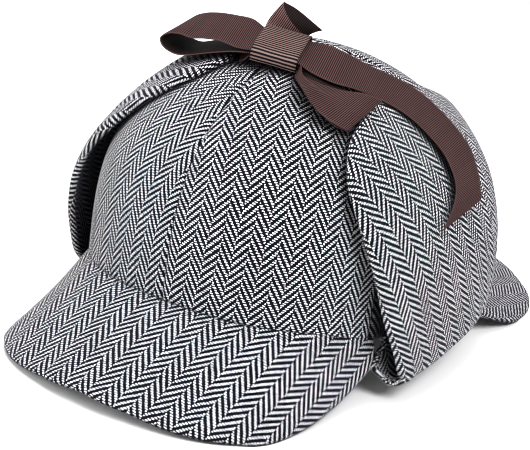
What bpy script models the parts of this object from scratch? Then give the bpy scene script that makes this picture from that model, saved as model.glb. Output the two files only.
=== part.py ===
"""Deerstalker hat, standing on its two peaks, with the ear flaps folded up and tied in a ribbon bow.

Frame: metres, +Z up, the front peak points to -Y, the wearer's left is +X.
Every shape is worked out in millimetres in the hat's own seam frame: z = 0 is the level where the
front peak is sewn to the crown.  The empty "hat_frame" lifts that frame onto the surface the hat
stands on and centres the hat on the origin.
"""
import math

import bmesh
import bpy
import numpy as np
from mathutils import Vector

MM = 0.001

# ---------------------------------------------------------------- driving sizes, mm
HALF_LENGTH = 100.9        # crown, outside, front to back / 2
HALF_WIDTH = 80.3          # crown, outside, side to side / 2
SQUARENESS = 2.45          # exponent of the head outline, 2 = ellipse
CROWN_RISE = 106.6         # from the seam level to the top of the dome
DOME_SHOULDER = 1.45       # exponents of the dome's section
DOME_FLATNESS = 3.19
TOP_LEAN = -10.1           # the top of the dome sits this far forward
BACK_FULLNESS = 0.14       # the dome is rounder behind than in front
CROWN_CLOTH = 2.0          # tweed and its backing
PEAK_CLOTH = 3.0           # tweed over a stiff board
FLAP_CLOTH = 3.4           # two layers of tweed, turned at the edge
RIBBON_THICK = 1.0
RIBBON_WIDTH = 25.0
GAP = 0.3                  # between pieces that are sewn together
GORE_SEAMS = (0.0, 64.0, 122.0, 180.0)  # seams between the gores, from the front, on each side
FLOOR_LEVEL = -36.9        # the standing surface, below the seam level
FLATTENED = 1.0            # the peaks' lowest edges are pressed flat by about this much
CENTRE_SHIFT = (0.0, -9.4)  # puts the middle of the hat's box on the origin

# ---------------------------------------------------------------- short tables
# where the crown's lower edge runs: angle from the front, height from the seam level
RIM = {"angle": (0.0, 40.0, 66.5, 90.0, 113.5, 140.0, 180.0),
       "z": (0.6, -0.9, -7.6, -11.5, -14.1, -8.4, -5.4)}

# the peaks, from the middle (share 0) to the corner (share 1): length from seam to edge, angle below level
FRONT_PEAK_END = 66.5      # the corners' angle from the middle of the peak
FRONT_PEAK = {"share": (0.0, 0.3, 0.5, 0.68, 0.85, 1.0),
              "reach": (57.2, 57.2, 53.0, 39.2, 24.7, 12.3),
              "droop": (29.8, 35.0, 41.5, 55.7, 67.6, 75.0)}
BACK_PEAK_END = 63.0
BACK_PEAK = {"share": (0.0, 0.3, 0.5, 0.68, 0.85, 1.0),
             "reach": (69.9, 69.9, 66.4, 48.9, 21.8, 2.0),
             "droop": (15.9, 16.0, 21.8, 32.6, 40.2, 48.6)}
PEAK_CROWNING = 0.6        # rise of the peak's section between seam and edge

# ear flaps above their fold, a row for each section from the fold to the sewn-on tie:
# rise = share of the way up the dome, angle from the front, and how far the cloth stands off the crown
FLAP_LEFT = {"rise_front": (-0.125, -0.067, 0.057, 0.18, 0.294, 0.39, 0.467, 0.540, 0.603, 0.655, 0.745, 0.790),
             "angle_front": (69.0, 66.8, 61.5, 57.7, 54.0, 51.3, 51.4, 54.5, 61.5, 66.0, 57.0, 43.0),
             "off_front": (14.5, 14.3, 13.2, 12.2, 10.6, 8.8, 7.2, 5.8, 4.6, 3.8, 3.0, 2.8),
             "rise_rear": (-0.037, 0.005, 0.10, 0.20, 0.30, 0.395, 0.48, 0.565, 0.657, 0.75, 0.835, 0.865),
             "angle_rear": (132.0, 135.0, 137.0, 138.0, 138.0, 138.0, 137.5, 134.0, 119.0, 107.0, 92.0, 84.0),
             "off_rear": (13.2, 13.4, 12.2, 10.2, 7.7, 5.6, 4.3, 3.4, 3.0, 2.8, 2.8, 2.8),
             "belly": (0.5, 0.8, 1.0, 1.2, 1.2, 1.2, 1.0, 0.8, 0.6, 0.4, 0.2, 0.0)}
FLAP_RIGHT = {"rise_front": (-0.125, -0.067, 0.057, 0.18, 0.294, 0.39, 0.467, 0.540, 0.605, 0.665, 0.725, 0.765),
              "angle_front": (69.0, 66.0, 60.0, 55.0, 49.5, 43.5, 39.5, 35.5, 31.0, 27.5, 25.5, 24.5),
              "off_front": (16.0, 15.6, 14.2, 11.6, 8.0, 4.8, 3.4, 2.8, 2.6, 2.6, 2.6, 2.6),
              "rise_rear": (-0.037, 0.005, 0.10, 0.20, 0.30, 0.395, 0.48, 0.565, 0.657, 0.735, 0.810, 0.860),
              "angle_rear": (132.0, 135.0, 137.0, 138.0, 138.0, 138.0, 137.5, 134.0, 119.0, 106.0, 88.0, 64.0),
              "off_rear": (13.2, 13.4, 12.2, 10.2, 7.5, 4.7, 3.4, 3.5, 4.2, 3.7, 3.1, 2.9),
              "belly": (1.0, 1.4, 1.8, 2.0, 1.8, 1.2, 0.6, 0.3, 0.2, 0.2, 0.1, 0.0)}
FLAP_SEWN = (69.5, 112.5)  # the flap is sewn to the rim between these angles
# the fold under the rim, from the flap's front corner (share 0) to its rear corner (share 1)
FLAP_FOLD = {"share": (0.0, 0.33, 0.62, 0.85, 1.0),
             "z": (-26.8, -19.8, -15.9, -12.2, -9.8)}

# the ribbon's sections, mm in the seam frame: middle of the ribbon, the way its width points
# (yaw from +Y towards -X, tilt above the level), and its width where it is gathered
LEFT_LOOP = {"x": (-13.6, -21.3, -28.6, -34.2, -38.2, -42.4, -46.2, -46.0, -43.8, -39.2, -33.4, -25.0, -15.4),
             "y": (-41.3, -42.8, -44.2, -45.2, -46.0, -46.9, -47.3, -47.2, -46.8, -45.8, -44.6, -43.0, -41.4),
             "z": (109.9, 110.8, 111.0, 111.1, 111.6, 110.8, 106.0, 101.4, 98.8, 97.5, 98.9, 102.0, 105.2),
             "yaw": (17, 17, 17, 9, -4, -10, -9, -6, -4, 2, 9, 12, 14),
             "tilt": (21, 15, 9, 8, 5, 4, 4, 3, 3, 5, 7, 8, 10)}
LONG_TAIL = {"x": (22.0, 30.0, 38.8, 47.9, 56.0, 64.3, 73.6, 79.9, 85.0, 88.4, 90.9, 92.6),
             "y": (-33.0, -29.0, -22.0, -13.2, -6.4, -1.4, 4.2, 6.8, 7.0, 4.6, 0.0, -7.0),
             "z": (105.6, 103.2, 100.1, 96.0, 91.6, 85.8, 77.2, 70.0, 62.6, 57.0, 52.4, 49.0),
             "yaw": (17, 18, 19, 14, 8, 6, 8, 6, 8, 6, 4, 4),
             "tilt": (20, 21, 15, 13, 10, 7, 8, 7, 6, 5, 6, 5)}
LONG_TAIL_CUT = 6.5        # the cut end slants this much across the ribbon, each way from the middle
SMALL_LOOP = {"x": (22.4, 30.0, 38.5, 46.0, 51.0, 53.0, 51.6, 45.5, 37.0, 28.0, 20.5),
              "y": (-48.8, -52.8, -52.6, -49.4, -45.8, -43.0, -42.0, -44.2, -46.4, -46.2, -44.8),
              "z": (101.0, 98.5, 95.2, 92.8, 90.8, 89.5, 88.9, 90.0, 93.2, 96.8, 99.7),
              "yaw": (14, 6, -2, -6, -7, -7, -6, -4, 0, 6, 12),
              "tilt": (-6, -6, 7, 20, 25, 26, 26, 24, 21, 18, 15),
              "width": (14, 19, 23, 25, 25, 25, 25, 24, 20, 15, 11)}
# the ties: sewn on the flaps' tips, from there into the knot
TIE_LEFT = {"x": (16.6, 19.2), "y": (-29.4, -25.8), "z": (103.0, 102.8), "yaw": (8, 3), "tilt": (11, 10), "width": (16, 18)}
TIE_RIGHT = {"x": (-10.6, -14.6), "y": (-40.2, -39.4), "z": (102.9, 101.2), "yaw": (22, 27), "tilt": (16, 15), "width": (20, 22)}
SHORT_TAIL = {"x_left": (-10.3, -12.4, -12.0, -8.8, -4.6), "y_left": (-26.2, -26.2, -24.8, -25.4, -26.2), "z_left": (109.7, 111.4, 115.0, 119.8, 124.9),
              "x_mid": (-0.9, -3.2, -2.2, 0.6, 2.8), "y_mid": (-22.9, -23.9, -24.6, -26.0, -27.0), "z_mid": (108.7, 111.0, 114.6, 118.8, 122.8),
              "x_right": (8.5, 6.5, 8.6, 11.4, 14.4), "y_right": (-19.6, -20.6, -22.0, -23.6, -24.8), "z_right": (107.8, 110.3, 112.8, 114.6, 116.0)}
KNOT_CENTRE = (4.0, -37.4, 106.9)
KNOT_YAW = 18.0            # the knot's band is turned this much with the ribbons it holds
KNOT_TILT = 15.0
KNOT_LENGTH = 21.0         # the band's own width, along the bow
KNOT_SECTION = (28.4, 9.2)  # outside, across the ribbons and through the bundle
# what the knot holds: distance across from its middle, layer above its middle, width there
IN_KNOT = {"loop_top": (0.0, 1.0, 22.0), "loop_bottom": (0.0, -0.4, 22.0), "tie_right": (0.0, -2.4, 18.0),
           "tail": (0.0, 0.9, 22.0), "small_front": (-8.2, -0.7, 7.6), "small_back": (-7.4, -2.0, 7.6),
           "tie_left": (3.6, -2.2, 10.0)}

MATERIALS = {"tweed": ((0.42, 0.42, 0.44), 0.9), "ribbon": ((0.075, 0.042, 0.036), 0.62)}


# ---------------------------------------------------------------- helpers
def smooth(xs, ys, x, mirrored=False):
    """A smooth curve through a short table: cubic Hermite with limited slopes.  A mirrored table is
    level at its first entry, so that both sides of the middle meet without a crease."""
    xs, ys = np.asarray(xs, float), np.asarray(ys, float)
    step = np.diff(xs)
    slope = np.diff(ys) / step
    inner = np.where(slope[:-1] * slope[1:] > 0,
                     2 * slope[:-1] * slope[1:] / np.where(slope[:-1] + slope[1:] == 0, 1, slope[:-1] + slope[1:]), 0.0)
    m = np.concatenate([[0.0 if mirrored else slope[0]], inner, [slope[-1]]])
    x = np.clip(np.asarray(x, float), xs[0], xs[-1])
    i = np.clip(np.searchsorted(xs, x, side="right") - 1, 0, len(step) - 1)
    t = (x - xs[i]) / step[i]
    return ((2 * t ** 3 - 3 * t ** 2 + 1) * ys[i] + (t ** 3 - 2 * t ** 2 + t) * step[i] * m[i]
            + (-2 * t ** 3 + 3 * t ** 2) * ys[i + 1] + (t ** 3 - t ** 2) * step[i] * m[i + 1])


def spline(values, n):
    """n points along a Catmull-Rom curve through the rows of a table."""
    v = np.asarray(values, float)
    p = np.vstack([2 * v[:1] - v[1:2], v, 2 * v[-1:] - v[-2:-1]])
    u = np.linspace(0, len(v) - 1, n)
    i = np.minimum(u.astype(int), len(v) - 2)
    t = (u - i)[:, None]
    a, b, c, d = p[i], p[i + 1], p[i + 2], p[i + 3]
    return 0.5 * (2 * b + (c - a) * t + (2 * a - 5 * b + 4 * c - d) * t ** 2 + (3 * b - a - 3 * c + d) * t ** 3)


def unit(v):
    return v / np.linalg.norm(v, axis=-1, keepdims=True)


# the dome's section, stepped along its own length: rise 0 at the seam level, 1 at the top
_t = np.linspace(0.0, math.pi / 2, 2001)
_rho = np.cos(_t) ** (2 / DOME_SHOULDER)
_z = CROWN_RISE * np.sin(_t) ** (2 / DOME_FLATNESS)
_arc = np.concatenate([[0.0], np.cumsum(np.hypot(np.diff(_rho) * (HALF_LENGTH + HALF_WIDTH) / 2, np.diff(_z)))])
MERIDIAN = _arc[-1]


def head_outline(angle):
    """Plan of the crown at the seam level; angle 0 is the front, 90 the wearer's left."""
    a = np.radians(angle)
    s, c = np.sin(a), np.cos(a)
    k = (np.abs(s) ** SQUARENESS + np.abs(c) ** SQUARENESS) ** (-1 / SQUARENESS)
    return HALF_WIDTH * k * s, -HALF_LENGTH * k * c


def crown(angle, rise, off=0.0):
    """A point of the crown's outside, moved off it by `off`."""
    angle, rise, off = np.broadcast_arrays(np.asarray(angle, float), np.asarray(rise, float), np.asarray(off, float))
    up = np.clip(rise, 0, 1) * MERIDIAN
    rho = np.interp(up, _arc, _rho) ** (1 - BACK_FULLNESS * (1 - np.cos(np.radians(angle))) / 2)
    z = np.where(rise > 0, np.interp(up, _arc, _z), rise * MERIDIAN)
    x0, y0 = head_outline(angle)
    share = np.clip(z / CROWN_RISE, 0, 1)
    a = np.radians(angle)
    return np.stack([x0 * rho + off * np.sin(a) * rho,
                     y0 * rho - off * np.cos(a) * rho + TOP_LEAN * share ** 2,
                     z + off * share ** 3], -1)


def crown_normal(angle, rise):
    rise = np.minimum(rise, 0.985)
    e = 1e-3
    du = crown(angle + 0.5, rise) - crown(angle - 0.5, rise)
    dv = crown(angle, rise + e) - crown(angle, rise - e)
    return unit(np.cross(du, dv))


def rise_at(z):
    return np.where(z > 0, np.interp(z, _z, _arc) / MERIDIAN, z / MERIDIAN)


def rim_z(angle):
    return smooth(RIM["angle"], RIM["z"], np.abs(((np.asarray(angle, float) + 180) % 360) - 180), mirrored=True)


def outward(angle):
    """Level direction square to the head outline."""
    a, e = np.asarray(angle, float), 0.2
    x0, y0 = head_outline(a - e)
    x1, y1 = head_outline(a + e)
    d = unit(np.stack([x1 - x0, y1 - y0], -1))
    return np.stack([-d[..., 1] * -1, d[..., 0] * -1, np.zeros_like(a)], -1)


# ---------------------------------------------------------------- scene, collections, materials
for old in list(bpy.data.objects):
    bpy.data.objects.remove(old, do_unlink=True)


def collection(name):
    c = bpy.data.collections.get(name) or bpy.data.collections.new(name)
    if c.name not in bpy.context.scene.collection.children:
        bpy.context.scene.collection.children.link(c)
    return c


HAT = collection("deerstalker_hat")
CUTTERS = collection("cutters")

frame = bpy.data.objects.new("hat_frame", None)
frame.location = (CENTRE_SHIFT[0] * MM, CENTRE_SHIFT[1] * MM, -FLOOR_LEVEL * MM)
HAT.objects.link(frame)


def material(name, kind):
    colour, rough = MATERIALS[kind]
    m = bpy.data.materials.new(name)
    m.use_nodes = True
    b = m.node_tree.nodes["Principled BSDF"]
    b.inputs["Base Color"].default_value = (*colour, 1)
    b.inputs["Roughness"].default_value = rough
    b.inputs["Metallic"].default_value = 0.0
    return m


def sheet(name, grid, kind, thick, side, closed=False):
    """A cloth sheet from a grid of points (rows, columns, xyz in mm), given its thickness by Solidify.
    side +1 thickens along the grid's own normal, -1 against it, 0 both ways."""
    rows, cols = grid.shape[:2]
    mesh = bpy.data.meshes.new(name)
    bm = bmesh.new()
    v = [[bm.verts.new(Vector(grid[i, j] * MM)) for j in range(cols)] for i in range(rows)]
    for i in range(rows if closed else rows - 1):
        k = (i + 1) % rows
        for j in range(cols - 1):
            bm.faces.new((v[i][j], v[i][j + 1], v[k][j + 1], v[k][j]))
    bm.to_mesh(mesh)
    bm.free()
    mesh.materials.append(material(name + "_cloth", kind))
    ob = bpy.data.objects.new(name, mesh)
    HAT.objects.link(ob)
    ob.parent = frame
    mesh.shade_smooth()
    mod = ob.modifiers.new("cloth", "SOLIDIFY")
    mod.thickness = thick * MM
    mod.offset = side
    mod.use_even_offset = True
    mod.use_rim = True
    mod.use_quality_normals = True
    return ob


# ---------------------------------------------------------------- crown: six gores
PANEL_NAMES = ("crown_front_left", "crown_side_left", "crown_back_left",
               "crown_back_right", "crown_side_right", "crown_front_right")
PANEL_ROWS, PANEL_COLS = 11, 8
TOP_HOLE = 0.8             # the gores' points stop this far from the dome's very top
RIM_TURN = 0.35            # gap between the crown's lower edge and what is sewn under it


def gore(name, first, last):
    rows = []
    for i in range(PANEL_ROWS + 1):
        share = i / PANEL_ROWS
        ends = []
        for edge, sign in ((first, 1), (last, -1)):
            low = rise_at(rim_z(edge) + RIM_TURN)
            rise = low + (1 - TOP_HOLE / MERIDIAN - low) * share
            p = crown(edge, rise)
            radius = math.hypot(p[0], p[1] - TOP_LEAN * min(1, max(0, p[2] / CROWN_RISE)) ** 2)
            ends.append(edge + sign * math.degrees(GAP / 2 / max(radius, 0.5)))
        angle = np.linspace(ends[0], ends[1], PANEL_COLS + 1)
        low = rise_at(rim_z(angle) + RIM_TURN)
        rise = low + (1 - TOP_HOLE / MERIDIAN - low) * share
        outside = crown(angle, rise)
        rows.append(outside - CROWN_CLOTH * crown_normal(angle, rise))
    grid = np.array(rows)[:, ::-1]          # from the lining side, thickened outwards
    return sheet(name, grid[:, ::-1], "tweed", CROWN_CLOTH, 1)


seams = list(GORE_SEAMS) + [360 - a for a in GORE_SEAMS[-2::-1]]
for name, first, last in zip(PANEL_NAMES, seams[:-1], seams[1:]):
    gore(name, first, last)


# ---------------------------------------------------------------- peaks
PEAK_COLS, PEAK_ROWS = 32, 5


def peak(name, table, middle, end):
    """A drooping crescent: a seam allowance under the crown's edge, then out to the edge."""
    share = np.sin(np.linspace(-1, 1, PEAK_COLS + 1) * math.pi / 2)
    share = 0.35 * share + 0.65 * np.linspace(-1, 1, PEAK_COLS + 1)
    angle = middle + share * (end - 0.6)
    out, up = outward(angle), np.array([0, 0, 1.0])
    x, y = head_outline(angle)
    seam = np.stack([x, y, rim_z(angle)], -1)
    reach = smooth(table["share"], table["reach"], np.abs(share), mirrored=True)[:, None]
    droop = np.radians(smooth(table["share"], table["droop"], np.abs(share), mirrored=True))[:, None]
    away = out * np.cos(droop) - up * np.sin(droop)
    lift = out * np.sin(droop) + up * np.cos(droop)
    rows = [seam - out * 2.6, seam - out * 0.2]
    for i in range(1, PEAK_ROWS + 1):
        f = i / PEAK_ROWS
        crowning = PEAK_CROWNING * np.minimum(1, reach / 40) * 4 * f * (1 - f)
        rows.append(seam + away * reach * f + lift * crowning)
    ob = sheet(name, np.array(rows), "tweed", PEAK_CLOTH, 1)
    # the lowest stretches of the edge are pressed flat where the hat stands on them
    mesh = bpy.data.meshes.new(name + "_floor")
    bm = bmesh.new()
    bmesh.ops.create_cube(bm, size=1.0)
    bm.to_mesh(mesh)
    bm.free()
    cutter = bpy.data.objects.new(name + "_floor", mesh)
    CUTTERS.objects.link(cutter)
    cutter.scale = (0.5, 0.5, 0.04)
    cutter.location = (0, 0, -0.02)
    cutter.hide_render = True
    cutter.display_type = "WIRE"
    cut = ob.modifiers.new("pressed_flat", "BOOLEAN")
    cut.operation = "DIFFERENCE"
    cut.solver = "EXACT"
    cut.object = cutter
    return ob


peak("front_peak", FRONT_PEAK, 0.0, FRONT_PEAK_END)
peak("back_peak", BACK_PEAK, 180.0, BACK_PEAK_END)


# ---------------------------------------------------------------- ear flaps
FLAP_COLS = 14


def ear_flap(name, table, hand):
    """Sewn to the rim, down to a soft fold, and up over the side of the crown to its tie."""
    share = np.linspace(0, 1, FLAP_COLS + 1)
    sewn = FLAP_SEWN[0] + (FLAP_SEWN[1] - FLAP_SEWN[0]) * share
    fold_angle = table["angle_front"][0] + (table["angle_rear"][0] - table["angle_front"][0]) * share
    fold_angle = fold_angle + np.array([0.8]) * (1 - share)
    # below the rim the folded cloth swings forward at its front corner
    swing = fold_angle - 1.7 * np.exp(-(share / 0.16) ** 2)
    z_sewn = rim_z(sewn) - FLAP_CLOTH / 2
    z_fold = smooth(FLAP_FOLD["share"], FLAP_FOLD["z"], share)
    drop = z_fold - z_sewn

    def ring(angle, off, z):
        x, y = head_outline(angle)
        off = np.broadcast_to(off, x.shape)[:, None]
        return np.stack([x, y, z], -1) + outward(angle) * off

    first = []
    for i, rise in enumerate(table["rise_front"]):
        r = rise + (table["rise_rear"][i] - rise) * share
        a = table["angle_front"][i] + (table["angle_rear"][i] - table["angle_front"][i]) * share
        o = table["off_front"][i] + (table["off_rear"][i] - table["off_front"][i]) * share
        # the flap bellies out between its two edges, most of it near the front one
        first.append(crown(a, r, o + table["belly"][i] * np.sin(np.pi * np.sqrt(share))))
    stand = table["off_front"][0] + (table["off_rear"][0] - table["off_front"][0]) * share
    under = [ring(sewn, -1.6, z_sewn), ring(sewn, 0.8, z_sewn - 0.3),
             ring(sewn * 0.6 + swing * 0.4, 3.6, z_sewn + drop * 0.52),
             ring(sewn * 0.15 + swing * 0.85, 6.0, z_sewn + drop * 0.86),
             ring(swing, stand * 0.66, z_fold)]
    turn = ring(fold_angle, stand - 0.9, z_fold + (first[0][:, 2] - z_fold) * 0.34)
    control = np.array(under + [turn] + first)
    n = len(control)
    fine = np.stack([spline(control[:, j], 2 * n - 1) for j in range(control.shape[1])], 1)
    keep = sorted(set(range(0, 2 * n - 1, 2)) | {5, 7, 9, 11})
    grid = fine[keep]
    grid[..., 0] *= hand
    if hand < 0:
        grid = grid[:, ::-1]
    return sheet(name, grid, "tweed", FLAP_CLOTH, 0)


ear_flap("ear_flap_left", FLAP_LEFT, 1)
ear_flap("ear_flap_right", FLAP_RIGHT, -1)


# ---------------------------------------------------------------- ribbons
def width_way(yaw, tilt):
    a, b = np.radians(yaw), np.radians(tilt)
    return np.stack([-np.sin(a) * np.cos(b), np.cos(a) * np.cos(b), np.sin(b)], -1)


KNOT_WAY = width_way(KNOT_YAW, KNOT_TILT)
_a = unit(np.array([math.cos(math.radians(KNOT_YAW)), math.sin(math.radians(KNOT_YAW)), -0.1]))
KNOT_ALONG = unit(_a - KNOT_WAY * float(np.dot(_a, KNOT_WAY)))
KNOT_LIFT = np.cross(KNOT_ALONG, KNOT_WAY)


def in_knot(layer, side):
    """Two sections of a ribbon inside the knot, from its middle to its mouth; side -1 left loop, +1 tail."""
    across, lift, width = IN_KNOT[layer]
    rows = []
    for s, w in ((3.5, width), (10.5, width + 1.0)):
        p = np.array(KNOT_CENTRE) + KNOT_ALONG * s * side + KNOT_WAY * across + KNOT_LIFT * lift
        rows.append([*p, KNOT_YAW, KNOT_TILT, w])
    return rows


def ribbon(name, table, sections, side, start, end=None, slant=0.0, across=3):
    """A ribbon that comes out of the knot, follows its table and, if it is a loop, goes back in."""
    rows = [list(r) for r in zip(*[table[k] for k in ("x", "y", "z", "yaw", "tilt")],
                                 table.get("width", (RIBBON_WIDTH,) * len(table["x"])))]
    rows = in_knot(start, side) + rows + (in_knot(end, side)[::-1] if end else [])
    rows = spline(rows, sections)
    middle, way = rows[:, :3], width_way(rows[:, 3], rows[:, 4])
    s = np.linspace(-0.5, 0.5, across)
    grid = middle[:, None] + way[:, None] * s[None, :, None] * rows[:, 5, None, None]
    if slant:
        along = unit(middle[-1] - middle[-2])
        grid[-1] = grid[-1] - along * (s * 2 * slant)[:, None]
    return sheet(name, grid, "ribbon", RIBBON_THICK, 0)


ribbon("bow_loop_left", LEFT_LOOP, 27, -1, "loop_top", "loop_bottom")
ribbon("bow_loop_small", SMALL_LOOP, 27, 1, "small_front", "small_back")
ribbon("ribbon_tail_long", LONG_TAIL, 22, 1, "tail", slant=LONG_TAIL_CUT)
ribbon("ribbon_tie_left", TIE_LEFT, 7, 1, "tie_left")
ribbon("ribbon_tie_right", TIE_RIGHT, 7, -1, "tie_right")

rows = np.stack([np.stack([SHORT_TAIL[a + "_" + side] for a in "xyz"], -1) for side in ("left", "mid", "right")], 1)
tail = np.stack([spline(rows[:, j], 9) for j in range(3)], 1)
sheet("ribbon_tail_short", tail, "ribbon", RIBBON_THICK, 0)


def knot(name):
    """The band of ribbon round the middle of the bow: a flattened ring."""
    half, deep = (KNOT_SECTION[0] - RIBBON_THICK) / 2, (KNOT_SECTION[1] - RIBBON_THICK) / 2
    ring = []
    for t in np.linspace(0, 2 * math.pi, 21)[:-1]:
        c, s = math.cos(t), math.sin(t)
        ring.append(KNOT_WAY * half * np.sign(c) * abs(c) ** 0.45 + KNOT_LIFT * deep * np.sign(s) * abs(s) ** 0.55)
    ring = np.array(ring)
    s = np.linspace(-0.5, 0.5, 3) * KNOT_LENGTH
    grid = np.array(KNOT_CENTRE) + ring[:, None] + KNOT_ALONG * s[None, :, None]
    return sheet(name, grid, "ribbon", RIBBON_THICK, 0, closed=True)


knot("bow_knot")
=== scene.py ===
"""Deerstalker hat in herringbone tweed, standing on its peaks, its ear flaps tied up in a ribbon bow.

The shapes are worked out in millimetres in the hat's seam frame, as in the CAD: z = 0 is the level
where the front peak is sewn to the crown, the front is -Y and the wearer's left is +X.  to_world()
lifts them onto the surface the hat stands on.  The surface detail (weave, ribs, rolled edges, seams)
is added here.
"""
import math

import bpy
import numpy as np
from mathutils import Matrix, Vector


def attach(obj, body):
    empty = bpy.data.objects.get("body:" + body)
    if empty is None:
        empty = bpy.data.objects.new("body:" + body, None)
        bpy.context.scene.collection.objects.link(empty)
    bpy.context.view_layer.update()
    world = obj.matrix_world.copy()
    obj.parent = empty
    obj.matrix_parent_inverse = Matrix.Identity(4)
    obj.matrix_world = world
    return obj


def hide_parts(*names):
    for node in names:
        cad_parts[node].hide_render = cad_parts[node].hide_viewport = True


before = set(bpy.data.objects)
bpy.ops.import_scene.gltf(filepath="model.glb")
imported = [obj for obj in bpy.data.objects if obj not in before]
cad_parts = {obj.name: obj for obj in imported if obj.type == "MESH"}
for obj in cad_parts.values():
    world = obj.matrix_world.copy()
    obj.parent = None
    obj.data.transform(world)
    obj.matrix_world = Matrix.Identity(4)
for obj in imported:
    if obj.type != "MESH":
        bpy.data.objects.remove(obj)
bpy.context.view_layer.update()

# ------------------------------------------------------------------ sizes shared with the CAD, mm
HALF_LENGTH, HALF_WIDTH, SQUARENESS = 100.9, 80.3, 2.45
CROWN_RISE, DOME_SHOULDER, DOME_FLATNESS = 106.6, 1.45, 3.19
TOP_LEAN, BACK_FULLNESS = -10.1, 0.14
CROWN_CLOTH, PEAK_CLOTH, FLAP_CLOTH = 2.0, 3.0, 3.4
GORE_SEAMS = (0.0, 64.0, 122.0, 180.0)
FLOOR_LEVEL, SHIFT = -36.9, (0.0, -9.4)
RIM = {"angle": (0.0, 40.0, 66.5, 90.0, 113.5, 140.0, 180.0),
       "z": (0.6, -0.9, -7.6, -11.5, -14.1, -8.4, -5.4)}
FRONT_PEAK_END = 66.5
FRONT_PEAK = {"share": (0.0, 0.3, 0.5, 0.68, 0.85, 1.0),
              "reach": (57.2, 57.2, 53.0, 39.2, 24.7, 12.3),
              "droop": (29.8, 35.0, 41.5, 55.7, 67.6, 75.0)}
BACK_PEAK_END = 63.0
BACK_PEAK = {"share": (0.0, 0.3, 0.5, 0.68, 0.85, 1.0),
             "reach": (69.9, 69.9, 66.4, 48.9, 21.8, 2.0),
             "droop": (15.9, 16.0, 21.8, 32.6, 40.2, 48.6)}
PEAK_CROWNING = 0.6
FLAP_LEFT = {"rise_front": (-0.125, -0.067, 0.057, 0.18, 0.294, 0.39, 0.467, 0.540, 0.603, 0.655, 0.745, 0.790),
             "angle_front": (69.0, 66.8, 61.5, 57.7, 54.0, 51.3, 51.4, 54.5, 61.5, 66.0, 57.0, 43.0),
             "off_front": (14.5, 14.3, 13.2, 12.2, 10.6, 8.8, 7.2, 5.8, 4.6, 3.8, 3.0, 2.8),
             "rise_rear": (-0.037, 0.005, 0.10, 0.20, 0.30, 0.395, 0.48, 0.565, 0.657, 0.75, 0.835, 0.865),
             "angle_rear": (132.0, 135.0, 137.0, 138.0, 138.0, 138.0, 137.5, 134.0, 119.0, 107.0, 92.0, 84.0),
             "off_rear": (13.2, 13.4, 12.2, 10.2, 7.7, 5.6, 4.3, 3.4, 3.0, 2.8, 2.8, 2.8),
             "belly": (0.5, 0.8, 1.0, 1.2, 1.2, 1.2, 1.0, 0.8, 0.6, 0.4, 0.2, 0.0)}
FLAP_RIGHT = {"rise_front": (-0.125, -0.067, 0.057, 0.18, 0.294, 0.39, 0.467, 0.540, 0.605, 0.665, 0.725, 0.765),
              "angle_front": (69.0, 66.0, 60.0, 55.0, 49.5, 43.5, 39.5, 35.5, 31.0, 27.5, 25.5, 24.5),
              "off_front": (16.0, 15.6, 14.2, 11.6, 8.0, 4.8, 3.4, 2.8, 2.6, 2.6, 2.6, 2.6),
              "rise_rear": (-0.037, 0.005, 0.10, 0.20, 0.30, 0.395, 0.48, 0.565, 0.657, 0.735, 0.810, 0.860),
              "angle_rear": (132.0, 135.0, 137.0, 138.0, 138.0, 138.0, 137.5, 134.0, 119.0, 106.0, 88.0, 64.0),
              "off_rear": (13.2, 13.4, 12.2, 10.2, 7.5, 4.7, 3.4, 3.5, 4.2, 3.7, 3.1, 2.9),
              "belly": (1.0, 1.4, 1.8, 2.0, 1.8, 1.2, 0.6, 0.3, 0.2, 0.2, 0.1, 0.0)}
FLAP_SEWN = (69.5, 112.5)
FLAP_FOLD = {"share": (0.0, 0.33, 0.62, 0.85, 1.0),
             "z": (-26.8, -19.8, -15.9, -12.2, -9.8)}
LEFT_LOOP = {"x": (-13.6, -21.3, -28.6, -34.4, -39.0, -43.6, -47.4, -47.2, -44.6, -39.6, -33.4, -25.0, -15.4),
             "y": (-41.3, -42.8, -44.2, -45.2, -46.0, -46.9, -47.3, -47.2, -46.8, -45.8, -44.6, -43.0, -41.4),
             "z": (109.9, 110.6, 110.2, 109.2, 109.0, 107.6, 104.2, 100.9, 98.6, 97.5, 98.9, 102.0, 105.2),
             "yaw": (17, 17, 17, 13, 8, 6, 7, 8, 8, 8, 9, 12, 14),
             "tilt": (21, 18, 18, 19, 15, 12, 8, 5, 4, 5, 7, 8, 10)}
LONG_TAIL = {"x": (22.0, 30.0, 38.8, 47.9, 56.0, 64.3, 73.6, 79.8, 84.7, 88.2, 91.0, 93.2),
             "y": (-33.0, -29.0, -22.0, -13.2, -6.4, -1.6, 3.6, 5.8, 5.4, 2.0, -3.4, -11.0),
             "z": (105.6, 103.2, 100.1, 96.0, 91.6, 85.8, 77.2, 70.0, 62.6, 57.0, 52.4, 49.0),
             "yaw": (17, 18, 19, 14, 8, 6, 8, 5, 4, 0, -5, -8),
             "tilt": (20, 21, 15, 13, 10, 7, 8, 7, 6, 5, 6, 5)}
LONG_TAIL_CUT = 6.5
SMALL_LOOP = {"x": (22.4, 30.0, 38.5, 46.0, 51.0, 53.0, 51.6, 45.5, 37.0, 28.0, 20.5),
              "y": (-48.8, -52.8, -52.6, -49.4, -45.8, -43.0, -42.0, -44.2, -46.4, -46.2, -44.8),
              "z": (100.4, 98.3, 95.2, 92.8, 90.8, 89.5, 88.9, 90.0, 93.2, 96.8, 99.6),
              "yaw": (14, 6, -2, -6, -7, -7, -6, -4, 0, 6, 12),
              "tilt": (-6, -6, 7, 20, 25, 26, 26, 24, 21, 18, 15),
              "width": (14, 19, 23, 25, 25, 25, 25, 24, 20, 15, 11)}
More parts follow.
